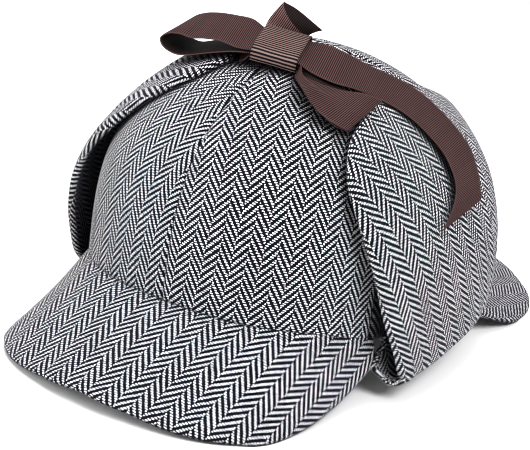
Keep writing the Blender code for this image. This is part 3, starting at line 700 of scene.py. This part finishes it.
# ------------------------------------------------------------------ peaks
def unrolled(seam, edge):
    """Flat pattern of the strip between two curves: each rung is laid down beside the last one."""
    n = len(seam)
    mid = n // 2
    s2, e2 = np.zeros((n, 2)), np.zeros((n, 2))
    e2[mid] = (0.0, -np.linalg.norm(edge[mid] - seam[mid]))

    def corner(p, q, dp, dq, side):
        d = np.linalg.norm(q - p)
        a = (dp ** 2 - dq ** 2 + d ** 2) / (2 * d)
        h = math.sqrt(max(dp ** 2 - a ** 2, 0.0))
        t = (q - p) / d
        return p + t * a + side * h * np.array([-t[1], t[0]])

    for step in (1, -1):
        k = mid
        while 0 <= k + step < n:
            j = k + step
            s2[j] = corner(s2[k], e2[k], np.linalg.norm(seam[j] - seam[k]), np.linalg.norm(seam[j] - edge[k]), step)
            e2[j] = corner(s2[j], e2[k], np.linalg.norm(edge[j] - seam[j]), np.linalg.norm(edge[j] - edge[k]), step)
            k = j
    return s2, e2


def peak(name, table, middle, end, grain, du, dv, seed, cloth, rows=69, cols=385, coarse=4):
    share = np.sin(np.linspace(-1, 1, cols) * math.pi / 2)
    share = 0.35 * share + 0.65 * np.linspace(-1, 1, cols)
    angle = middle + share * (end - 0.5)
    out, up = outward(angle), np.array([0, 0, 1.0])
    x, y = head_outline(angle)
    seam = np.stack([x, y, rim_z(angle)], -1)
    reach = smooth(table["share"], table["reach"], np.abs(share), mirrored=True)[:, None]
    droop = np.radians(smooth(table["share"], table["droop"], np.abs(share), mirrored=True))[:, None]
    away = out * np.cos(droop) - up * np.sin(droop)
    lift = out * np.sin(droop) + up * np.cos(droop)
    radius = PEAK_CLOTH / 2
    # a hand-turned edge is never quite even
    arc = np.concatenate([[0.0], np.cumsum(np.linalg.norm(np.diff(seam + away * reach, axis=0), axis=1))])[:, None]
    wave = 0.22 * np.sin(arc / 7.3 + seed) * np.sin(arc / 19.0 + 2 * seed) + 0.12 * np.sin(arc / 3.9 + 3 * seed)
    usable = np.maximum(reach - radius * 0.92, 0.4) + wave * np.clip(reach / 20, 0, 1)
    f_rows = np.linspace(0, 1, rows - 4)
    grid = [seam - out * d for d in (2.6, 1.6, 0.8, 0.25)]
    for f in f_rows:
        f = max(f, 0.004)
        true = f * usable / reach
        crowning = PEAK_CROWNING * np.minimum(1, reach / 40) * 4 * true * (1 - true)
        grid.append(seam + away * usable * f + lift * crowning)
    grid = np.array(grid)
    du_ = np.gradient(grid, axis=1)
    dv_ = np.gradient(grid, axis=0)
    normal = unit(np.cross(dv_, du_))
    if np.mean(normal[..., 2]) < 0:
        normal = -normal
    normal[:5] = lift
    for _ in range(6):
        normal[1:-1] = unit(normal[:-2] + 2 * normal[1:-1] + normal[2:])
        normal[:, 1:-1] = unit(normal[:, :-2] + 2 * normal[:, 1:-1] + normal[:, 2:])
    from_seam = np.maximum(np.linalg.norm(grid - seam[None], axis=2), 0)
    from_edge = np.linalg.norm(grid - grid[-1][None], axis=2)
    soft = 0.25 * softness(grid, 48.0, seed) * np.clip(from_seam / 8, 0, 1) * np.clip(from_edge / 6, 0, 1)
    # the cloth is pulled down a little just outside the seam, and is thickest where it is turned at the edge
    soft -= 0.30 * gauss(from_seam - 1.2, 1.4)
    soft += 0.22 * gauss(from_edge - 3.0, 2.6) * np.clip(reach[None, :, 0] / 14, 0, 1)
    face = grid + normal * soft[..., None]
    back = grid - normal * (PEAK_CLOTH + 0.12 * gauss(from_edge - 3.0, 2.6))[..., None]
    s2, e2 = unrolled(seam, grid[-1])
    run = np.concatenate([-np.array([2.6, 1.6, 0.8, 0.25]), np.linalg.norm(grid[4:] - seam[None], axis=2).mean(1) * 0])[:, None]
    share_r = np.empty(grid.shape[:2])
    total = np.linalg.norm(grid[-1] - seam, axis=1)
    share_r[:4] = -np.array([2.6, 1.6, 0.8, 0.25])[:, None] / np.maximum(total, 4.0)
    share_r[4:] = f_rows[:, None]
    flat = s2[None] * (1 - share_r[..., None]) + e2[None] * share_r[..., None]
    cut_size(name, flat[..., 0], flat[..., 1], grid)
    uv = turned(flat[..., 0] * 0.96, flat[..., 1] * 1.02, grain, du, dv)
    return slab(name, face, back, uv, coarse, [cloth, cloth], (0.2, 0.6, radius, 0.6), edge_rows=6, floor=True)


PIECES.append(("front_peak", peak("front_peak", FRONT_PEAK, 0.0, FRONT_PEAK_END, -4.0, 0.0, 0.0, 0.7, TWEED)))
# the back peak's cloth is painted darker as shade
PIECES.append(("back_peak", peak("back_peak", BACK_PEAK, 180.0, BACK_PEAK_END, 0.0, 1.0, 0.0, 2.1, TWEED_BACK_PEAK_PAINTED_SHADE)))


# ------------------------------------------------------------------ ear flaps
def ear_flap(name, table, hand, grain, du, dv, seed, rows=193, cols=129, coarse=2):
    share = np.linspace(0, 1, cols)
    share = share - 0.10 * np.sin(2 * math.pi * share) / (2 * math.pi)
    keep = 1.5                                  # the border's rounding is added outside this grid
    sewn = FLAP_SEWN[0] + (FLAP_SEWN[1] - FLAP_SEWN[0]) * share
    fold_angle = table["angle_front"][0] + (table["angle_rear"][0] - table["angle_front"][0]) * share
    fold_angle = fold_angle + 0.8 * (1 - share)
    # below the rim the folded cloth swings forward at its front corner
    forward = np.exp(-(share / 0.18) ** 2)
    z_sewn = rim_z(sewn) - FLAP_CLOTH / 2
    z_fold = smooth(FLAP_FOLD["share"], FLAP_FOLD["z"], share)
    drop = z_fold - z_sewn

    def ring(angle, off, z):
        x, y = head_outline(angle)
        off = np.broadcast_to(off, x.shape)[:, None]
        return np.stack([x, y, z], -1) + outward(angle) * off

    first = []
    for i, rise in enumerate(table["rise_front"]):
        r = rise + (table["rise_rear"][i] - rise) * share
        a = table["angle_front"][i] + (table["angle_rear"][i] - table["angle_front"][i]) * share
        o = table["off_front"][i] + (table["off_rear"][i] - table["off_front"][i]) * share
        first.append(crown(a, r, o + table["belly"][i] * np.sin(np.pi * np.sqrt(share))))
    stand = table["off_front"][0] + (table["off_rear"][0] - table["off_front"][0]) * share
    under = [ring(sewn, -1.6, z_sewn), ring(sewn, 0.8, z_sewn - 0.3),
             ring(sewn * 0.6 + (fold_angle - 13.0 * forward) * 0.4, 3.6, z_sewn + drop * 0.52),
             ring(sewn * 0.15 + (fold_angle - 3.4 * forward) * 0.85, 6.0, z_sewn + drop * 0.86),
             ring(fold_angle - 1.5 * forward, stand * 0.66, z_fold)]
    turn = ring(fold_angle, stand - 0.9, z_fold + (first[0][:, 2] - z_fold) * 0.34)
    control = np.array(under + [turn] + first)
    n = len(control)
    # rows evenly spaced along the middle column
    fine_u = np.linspace(0, n - 1, 1601)
    mid = spline_at(control[:, cols // 2], fine_u)
    run = np.concatenate([[0.0], np.cumsum(np.linalg.norm(np.diff(mid, axis=0), axis=1))])
    at = np.interp(np.linspace(0, run[-1] - keep, rows), run, fine_u)
    grid = np.stack([spline_at(control[:, j], at) for j in range(cols)], 1)
    # pull the side borders in by the rounding
    s = across_lengths(grid, 0)
    width = s[:, -1:]
    target = keep + (width - 2 * keep) * (s / width)
    pulled = np.empty_like(grid)
    for k in range(rows):
        for c in range(3):
            pulled[k, :, c] = np.interp(target[k], s[k], grid[k, :, c])
    grid = pulled
    gu = np.gradient(grid, axis=1)
    gv = np.gradient(grid, axis=0)
    normal = unit(np.cross(gu, gv))
    for _ in range(4):
        normal[1:-1] = unit(normal[:-2] + 2 * normal[1:-1] + normal[2:])
        normal[:, 1:-1] = unit(normal[:, :-2] + 2 * normal[:, 1:-1] + normal[:, 2:])
    s = across_lengths(grid, 0)
    width = s[:, -1:]
    to_edge = np.minimum(s, width - s)
    v_line = along_lengths(grid, cols // 2)
    roll = 0.30 * gauss(to_edge - 2.4, 2.2)
    body = softness(grid, 55.0, seed) * np.clip(to_edge / 10, 0, 1)
    face = grid + normal * (FLAP_CLOTH / 2 + roll + 0.25 * body)[..., None]
    back = grid - normal * (FLAP_CLOTH / 2 + 0.6 * roll - 0.15 * body)[..., None]
    u = across_lengths(grid, cols // 2)
    u, v = laid_flat(grid, u, v_line[:, None] + 0 * u)
    cut_size(name, u, v, grid)
    # the cloth is drawn round where the flap is tied up, so that its grain turns a little on the way
    uv = turned(u * hand, v, grain, du, dv)
    uv[..., 0] -= 1.22e-6 * hand * (v - 90.0) ** 2
    if hand < 0:
        face, back, uv = face[:, ::-1].copy(), back[:, ::-1].copy(), uv[:, ::-1].copy()
        face[..., 0] *= -1
        back[..., 0] *= -1
    return slab(name, face, back, uv, coarse, [TWEED, TWEED_BACK], (0.4, 1.75, 1.6, 1.75), edge_rows=6)


PIECES.append(("ear_flap_left", ear_flap("ear_flap_left", FLAP_LEFT, 1, 15.0, 0.0, 0.0, 1.1)))
PIECES.append(("ear_flap_right", ear_flap("ear_flap_right", FLAP_RIGHT, -1, -15.0, 1.5, 0.7, 2.7)))


# ------------------------------------------------------------------ ribbons
def width_way(yaw, tilt):
    a, b = np.radians(yaw), np.radians(tilt)
    return np.stack([-np.sin(a) * np.cos(b), np.cos(a) * np.cos(b), np.sin(b)], -1)


KNOT_WAY = width_way(KNOT_YAW, KNOT_TILT)
_a = unit(np.array([math.cos(math.radians(KNOT_YAW)), math.sin(math.radians(KNOT_YAW)), -0.1]))
KNOT_ALONG = unit(_a - KNOT_WAY * float(np.dot(_a, KNOT_WAY)))
KNOT_LIFT = np.cross(KNOT_ALONG, KNOT_WAY)


def in_knot(layer, side):
    across, lift, width = IN_KNOT[layer]
    rows = []
    for s, w in ((3.5, width), (10.5, width + 1.0)):
        p = np.array(KNOT_CENTRE) + KNOT_ALONG * s * side + KNOT_WAY * across + KNOT_LIFT * lift
        rows.append([*p, KNOT_YAW, KNOT_TILT, w])
    return rows


def ribbed(v):
    """Height of the ribs' relief at the length v, mm."""
    p = v / RIB
    saw = np.abs(2 * (p - np.floor(p)) - 1)
    return RIB_RELIEF * (np.sqrt(np.clip(1 - saw ** 2, 0, 1)) - 0.8)


def ribbon_slab(name, middle_grid, normal, u, v, closed=False, face=None):
    """A ribbon from the grid of its middle surface: both faces ribbed, thin flat selvedges."""
    b = Builder()
    half = 0.36
    # painted shade: the face of a loop that faces its middle takes the copy painted dark
    hollow = middle_grid.reshape(-1, 3).mean(0) - middle_grid
    inward = float(np.mean(np.sum(normal * unit(hollow), -1)))
    top_slot, low_slot = (1, 0) if inward > 0.12 else (0, 1) if inward < -0.12 else (0, 0)
    width = np.abs(u).max(1, keepdims=True)
    near_edge = np.clip((width - np.abs(u)) / 0.9, 0, 1)
    rise = half * (0.72 + 0.28 * near_edge) + ribbed(v) * near_edge
    uv = np.stack([u, v], -1) * 0.001
    top = b.points(to_world(middle_grid + normal * rise[..., None]))
    low = b.points(to_world(middle_grid - normal * rise[..., None]))
    if closed:
        def wrap(a): return np.concatenate([a, a[:1]], 0)
        turn = uv.copy()[:1]
        turn[..., 1] = uv[-1, :, 1] + (uv[-1, :, 1] - uv[-2, :, 1])
        top_w, low_w, uv_w = wrap(top), wrap(low), np.concatenate([uv, turn], 0)
    else:
        top_w, low_w, uv_w = top, low, uv
    b.grid(top_w, uv_w, top_slot)
    b.grid(low_w, uv_w, low_slot, flip=True)
    for col, flip in ((0, False), (-1, True)):
        a, c = top_w[:, col], low_w[:, col]
        q = np.stack([a[:-1], a[1:], c[1:], c[:-1]], 1)
        g = np.stack([uv_w[:-1, col], uv_w[1:, col], uv_w[1:, col], uv_w[:-1, col]], 1)
        b.faces(q[:, ::-1] if flip else q, g[:, ::-1] if flip else g, 0)
    if not closed:
        for row, flip in ((0, True), (-1, False)):
            a, c = top_w[row], low_w[row]
            q = np.stack([a[:-1], a[1:], c[1:], c[:-1]], 1)
            g = np.stack([uv_w[row, :-1], uv_w[row, 1:], uv_w[row, 1:], uv_w[row, :-1]], 1)
            b.faces(q[:, ::-1] if flip else q, g[:, ::-1] if flip else g, 0)
    return b.make(name, [face or RIBBON, RIBBON_PAINTED_SHADE])


def ribbon(name, table, side, start, end=None, slant=0.0, cols=13, cup=0.0, per_rib=6, skip=0.0, flat=RIBBON_WIDTH, gather=0.0):
    rows = [list(r) for r in zip(*[table[k] for k in ("x", "y", "z", "yaw", "tilt")],
                                 table.get("width", (RIBBON_WIDTH,) * len(table["x"])))]
    rows = in_knot(start, side) + rows + (in_knot(end, side)[::-1] if end else [])
    FLAT_WIDTH[name] = flat
    fine_u = np.linspace(skip, len(rows) - 1 - (skip if end else 0.0), 4001)
    fine = spline_at(rows, fine_u)
    run = np.concatenate([[0.0], np.cumsum(np.linalg.norm(np.diff(fine[:, :3], axis=0), axis=1))])
    count = int(round(run[-1] / RIB * per_rib)) + 1
    v = np.linspace(0, run[-1], count)
    at = spline_at(rows, np.interp(v, run, fine_u))
    middle, way = at[:, :3], width_way(at[:, 3], at[:, 4])
    s = np.linspace(-0.5, 0.5, cols)
    s = np.sign(s) * 0.5 * (1 - (1 - np.abs(2 * s)) ** 1.35)
    u = s[None, :] * at[:, 5, None]
    grid = middle[:, None] + way[:, None] * u[..., None]
    vv = np.repeat(v[:, None], cols, 1)
    if slant:
        along = unit(middle[-1] - middle[-2])
        # the last stretch is drawn out to the slanting cut
        share = np.clip((v - (run[-1] - 12.0)) / 12.0, 0, 1)[:, None]
        shift = -(s * 2 * slant)[None, :] * share
        grid = grid + along * shift[..., None]
        vv = vv + shift
    tangent = unit(np.gradient(middle, axis=0))
    normal = unit(np.cross(tangent, way))
    normal = np.repeat(normal[:, None], cols, 1)
    # soft lengthwise folds where the ribbon is gathered into the knot
    tight = np.clip(1 - at[:, 5] / RIBBON_WIDTH, 0, 1)[:, None]
    folds = gather * tight * np.cos(2 * math.pi * 1.6 * s[None, :] + 0.7)
    grid = grid + normal * (folds + cup * (2 * s[None, :]) ** 2)[..., None]
    return ribbon_slab(name, grid, normal, u, vv), run[-1]


LENGTH, FLAT_WIDTH = {}, {}
for name, args in (("bow_loop_left", dict(table=LEFT_LOOP, side=-1, start="loop_top", end="loop_bottom")),
                   ("bow_loop_small", dict(table=SMALL_LOOP, side=1, start="small_front", end="small_back", skip=0.9, gather=2.4, cols=21)),
                   ("ribbon_tail_long", dict(table=LONG_TAIL, side=1, start="tail", slant=LONG_TAIL_CUT)),
                   ("ribbon_tie_left", dict(table=TIE_LEFT, side=1, start="tie_left", skip=0.5, flat=16.0)),
                   ("ribbon_tie_right", dict(table=TIE_RIGHT, side=-1, start="tie_right", skip=0.5, flat=20.0))):
    ob, LENGTH[name] = ribbon(name, **args)
    PIECES.append((name, ob))


def short_tail(name, rows=91, cols=121):
    t = SHORT_TAIL
    control = np.stack([np.stack([t[a + "_" + side] for a in "xyz"], -1) for side in ("left", "mid", "right")], 1)
    at = np.linspace(0, 4, rows)
    three = np.stack([spline_at(control[:, j], at) for j in range(3)], 1)
    w = np.linspace(0, 2, cols)
    grid = np.stack([spline_at(three[i], w) for i in range(rows)], 0)
    # its right part is folded back along a line from the cut's upper end down to its right edge
    past = np.clip(w[None, :] / 2 - (4.0 - at[:, None]) / 2.6, 0, 1)
    grid = grid + past[..., None] * np.array([-1.0, 5.0, -0.6])
    normal = unit(np.cross(np.gradient(grid, axis=0), np.gradient(grid, axis=1)))
    # the ribs run up along the cut edge on the left
    along_edge = unit(control[4, 0] - control[1, 0])
    across = unit(np.cross(along_edge, normal.reshape(-1, 3).mean(0)))
    v = (grid - control[1, 0]) @ across
    u = (grid - control[1, 0]) @ along_edge - 9.0
    b = Builder()
    uv = np.stack([u, v], -1) * 0.001
    rise = 0.34 + ribbed(v)
    top = b.points(to_world(grid + normal * rise[..., None]))
    low = b.points(to_world(grid - normal * rise[..., None]))
    b.grid(top, uv, 0)
    b.grid(low, uv, 0, flip=True)
    # painted shade on the folded-back part, painted light on the front
    folded = ((past[:-1, :-1] + past[1:, 1:]) > 0.012).ravel()
    b.m = np.tile(folded.astype(int), 2).tolist()
    ring = loop_of(rows, cols)
    ii, jj = np.array([p[0] for p in ring]), np.array([p[1] for p in ring])
    nx = np.roll(np.arange(len(ring)), -1)
    a, c, g = top[ii, jj], low[ii, jj], uv[ii, jj]
    b.faces(np.stack([a, c, c[nx], a[nx]], 1), np.stack([g, g, g[nx], g[nx]], 1), 0)
    LENGTH[name] = 17.0
    return b.make(name, [RIBBON_SHORT_TAIL_PAINTED_LIGHT, RIBBON_PAINTED_SHADE])


PIECES.append(("ribbon_tail_short", short_tail("ribbon_tail_short")))


def knot(name, cols=13, per_rib=7):
    half, deep = (KNOT_SECTION[0] - RIBBON_THICK) / 2, (KNOT_SECTION[1] - RIBBON_THICK) / 2
    t = np.linspace(0, 2 * math.pi, 4001)
    c, s = np.cos(t), np.sin(t)
    ring = (KNOT_WAY * (half * np.sign(c) * np.abs(c) ** 0.45)[:, None]
            + KNOT_LIFT * (deep * np.sign(s) * np.abs(s) ** 0.55)[:, None])
    run = np.concatenate([[0.0], np.cumsum(np.linalg.norm(np.diff(ring, axis=0), axis=1))])
    count = int(round(run[-1] / KNOT_RIB)) * per_rib
    v = np.linspace(0, run[-1], count + 1)[:-1]
    ring = np.stack([np.interp(v, run, ring[:, k]) for k in range(3)], -1)
    for _ in range(10):
        ring = (np.roll(ring, 1, 0) + 2 * ring + np.roll(ring, -1, 0)) / 4
    tangent = unit(np.roll(ring, -1, 0) - np.roll(ring, 1, 0))
    normal = unit(np.cross(tangent, KNOT_ALONG))
    if np.mean(np.sum(normal * ring, -1)) < 0:
        normal = -normal
    w = np.linspace(-0.5, 0.5, cols)
    u = np.repeat((w * KNOT_LENGTH)[None], count, 0)
    # drawn in a little at its middle
    grid = np.array(KNOT_CENTRE) + ring[:, None] + KNOT_ALONG * u[..., None]
    grid = grid - normal[:, None] * (0.25 * (1 - (2 * w[None, :, None]) ** 2))
    vv = np.repeat((v / run[-1] * count / per_rib * RIB)[:, None], cols, 1)
    LENGTH[name] = run[-1]
    return ribbon_slab(name, grid, np.repeat(normal[:, None], cols, 1), u, vv, closed=True, face=RIBBON_KNOT_PAINTED_LIGHT)


PIECES.append(("bow_knot", knot("bow_knot")))

for name, ob in PIECES:
    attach(ob, "root")
    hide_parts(name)
for name, ob in PIECES:
    if name in CUT:
        width, length, area = CUT[name]
        if area < 0.3 * width * length:          # a long thin crescent: its box is turned to fit
            width = round(area / 0.3 / length, 3)
    else:
        width, length, area = FLAT_WIDTH.get(name, RIBBON_WIDTH) * 0.001, round(LENGTH[name] * 0.001, 3), None
    print("flat", name, width, length, area)

# ------------------------------------------------------------------ floor, light, camera
scene = bpy.context.scene
floor_mesh = bpy.data.meshes.new("floor")
floor_mesh.from_pydata([(-6, -6, 0), (6, -6, 0), (6, 6, 0), (-6, 6, 0)], [], [(0, 1, 2, 3)])
floor = bpy.data.objects.new("floor", floor_mesh)
scene.collection.objects.link(floor)
pale = Shader("pale_floor")
pale.set(Base_Color=(0.93, 0.93, 0.93), Roughness=0.9, Specular_IOR_Level=0.0)
floor_mesh.materials.append(pale.m)

world = bpy.data.worlds.new("studio")
world.use_nodes = True
world.node_tree.nodes["Background"].inputs["Color"].default_value = (1, 1, 1, 1)
world.node_tree.nodes["Background"].inputs["Strength"].default_value = 0.50
scene.world = world


def softbox(name, place, aim, size, power):
    light = bpy.data.lights.new(name, "AREA")
    light.shape, light.size, light.energy = "SQUARE", size, power
    ob = bpy.data.objects.new(name, light)
    ob.location = place
    ob.rotation_euler = (Vector(aim) - Vector(place)).to_track_quat("-Z", "Y").to_euler()
    scene.collection.objects.link(ob)


softbox("key", (1.2, -0.8, 1.5), (0, -0.02, 0.07), 0.8, 42)
softbox("top", (-0.1, -0.3, 1.8), (0, 0, 0.05), 1.2, 21)
softbox("fill", (-0.9, -1.3, 0.8), (0, 0, 0.07), 0.9, 15)

# camera: place and aim fitted to the photo's outlines; the lens is for a 530 x 450 frame
PHI, THETA, ROLL = math.radians(29.09), math.radians(19.53), math.radians(8.89)
WIDTH_PX, HEIGHT_PX = 530, 450
SCALE, CENTRE_PX, DISTANCE = 2.0418, (283.02, 250.92), 737.9
forward = np.array([-math.sin(PHI) * math.cos(THETA), math.cos(PHI) * math.cos(THETA), -math.sin(THETA)])
right = np.array([math.cos(PHI), math.sin(PHI), 0.0])
upward = np.cross(right, forward)
F_PX = SCALE * DISTANCE
position = -forward * DISTANCE
right_r = right * math.cos(ROLL) + upward * math.sin(ROLL)
up_r = upward * math.cos(ROLL) - right * math.sin(ROLL)
# the frame's middle isn't where the fitted axis meets it, so the camera is turned to it
aim = unit(forward * F_PX + right_r * (WIDTH_PX / 2 - CENTRE_PX[0]) - up_r * (HEIGHT_PX / 2 - CENTRE_PX[1]))
side_axis = unit(right_r - aim * float(right_r @ aim))
top_axis = np.cross(side_axis, aim)
camera_data = bpy.data.cameras.new("camera")
camera_data.sensor_width = 36.0
camera_data.lens = 36.0 * F_PX / WIDTH_PX
camera_data.clip_start, camera_data.clip_end = 0.01, 50.0
camera = bpy.data.objects.new("camera", camera_data)
place = to_world(position)
camera.matrix_world = Matrix([[side_axis[0], top_axis[0], -aim[0], place[0]],
                              [side_axis[1], top_axis[1], -aim[1], place[1]],
                              [side_axis[2], top_axis[2], -aim[2], place[2]],
                              [0, 0, 0, 1]])
scene.collection.objects.link(camera)
scene.camera = camera
scene.view_settings.view_transform = "Standard"
scene.view_settings.look = "None"
scene.cycles.filter_width = 0.9          # a crisp picture, as fine weaves need

bpy.context.view_layer.update()
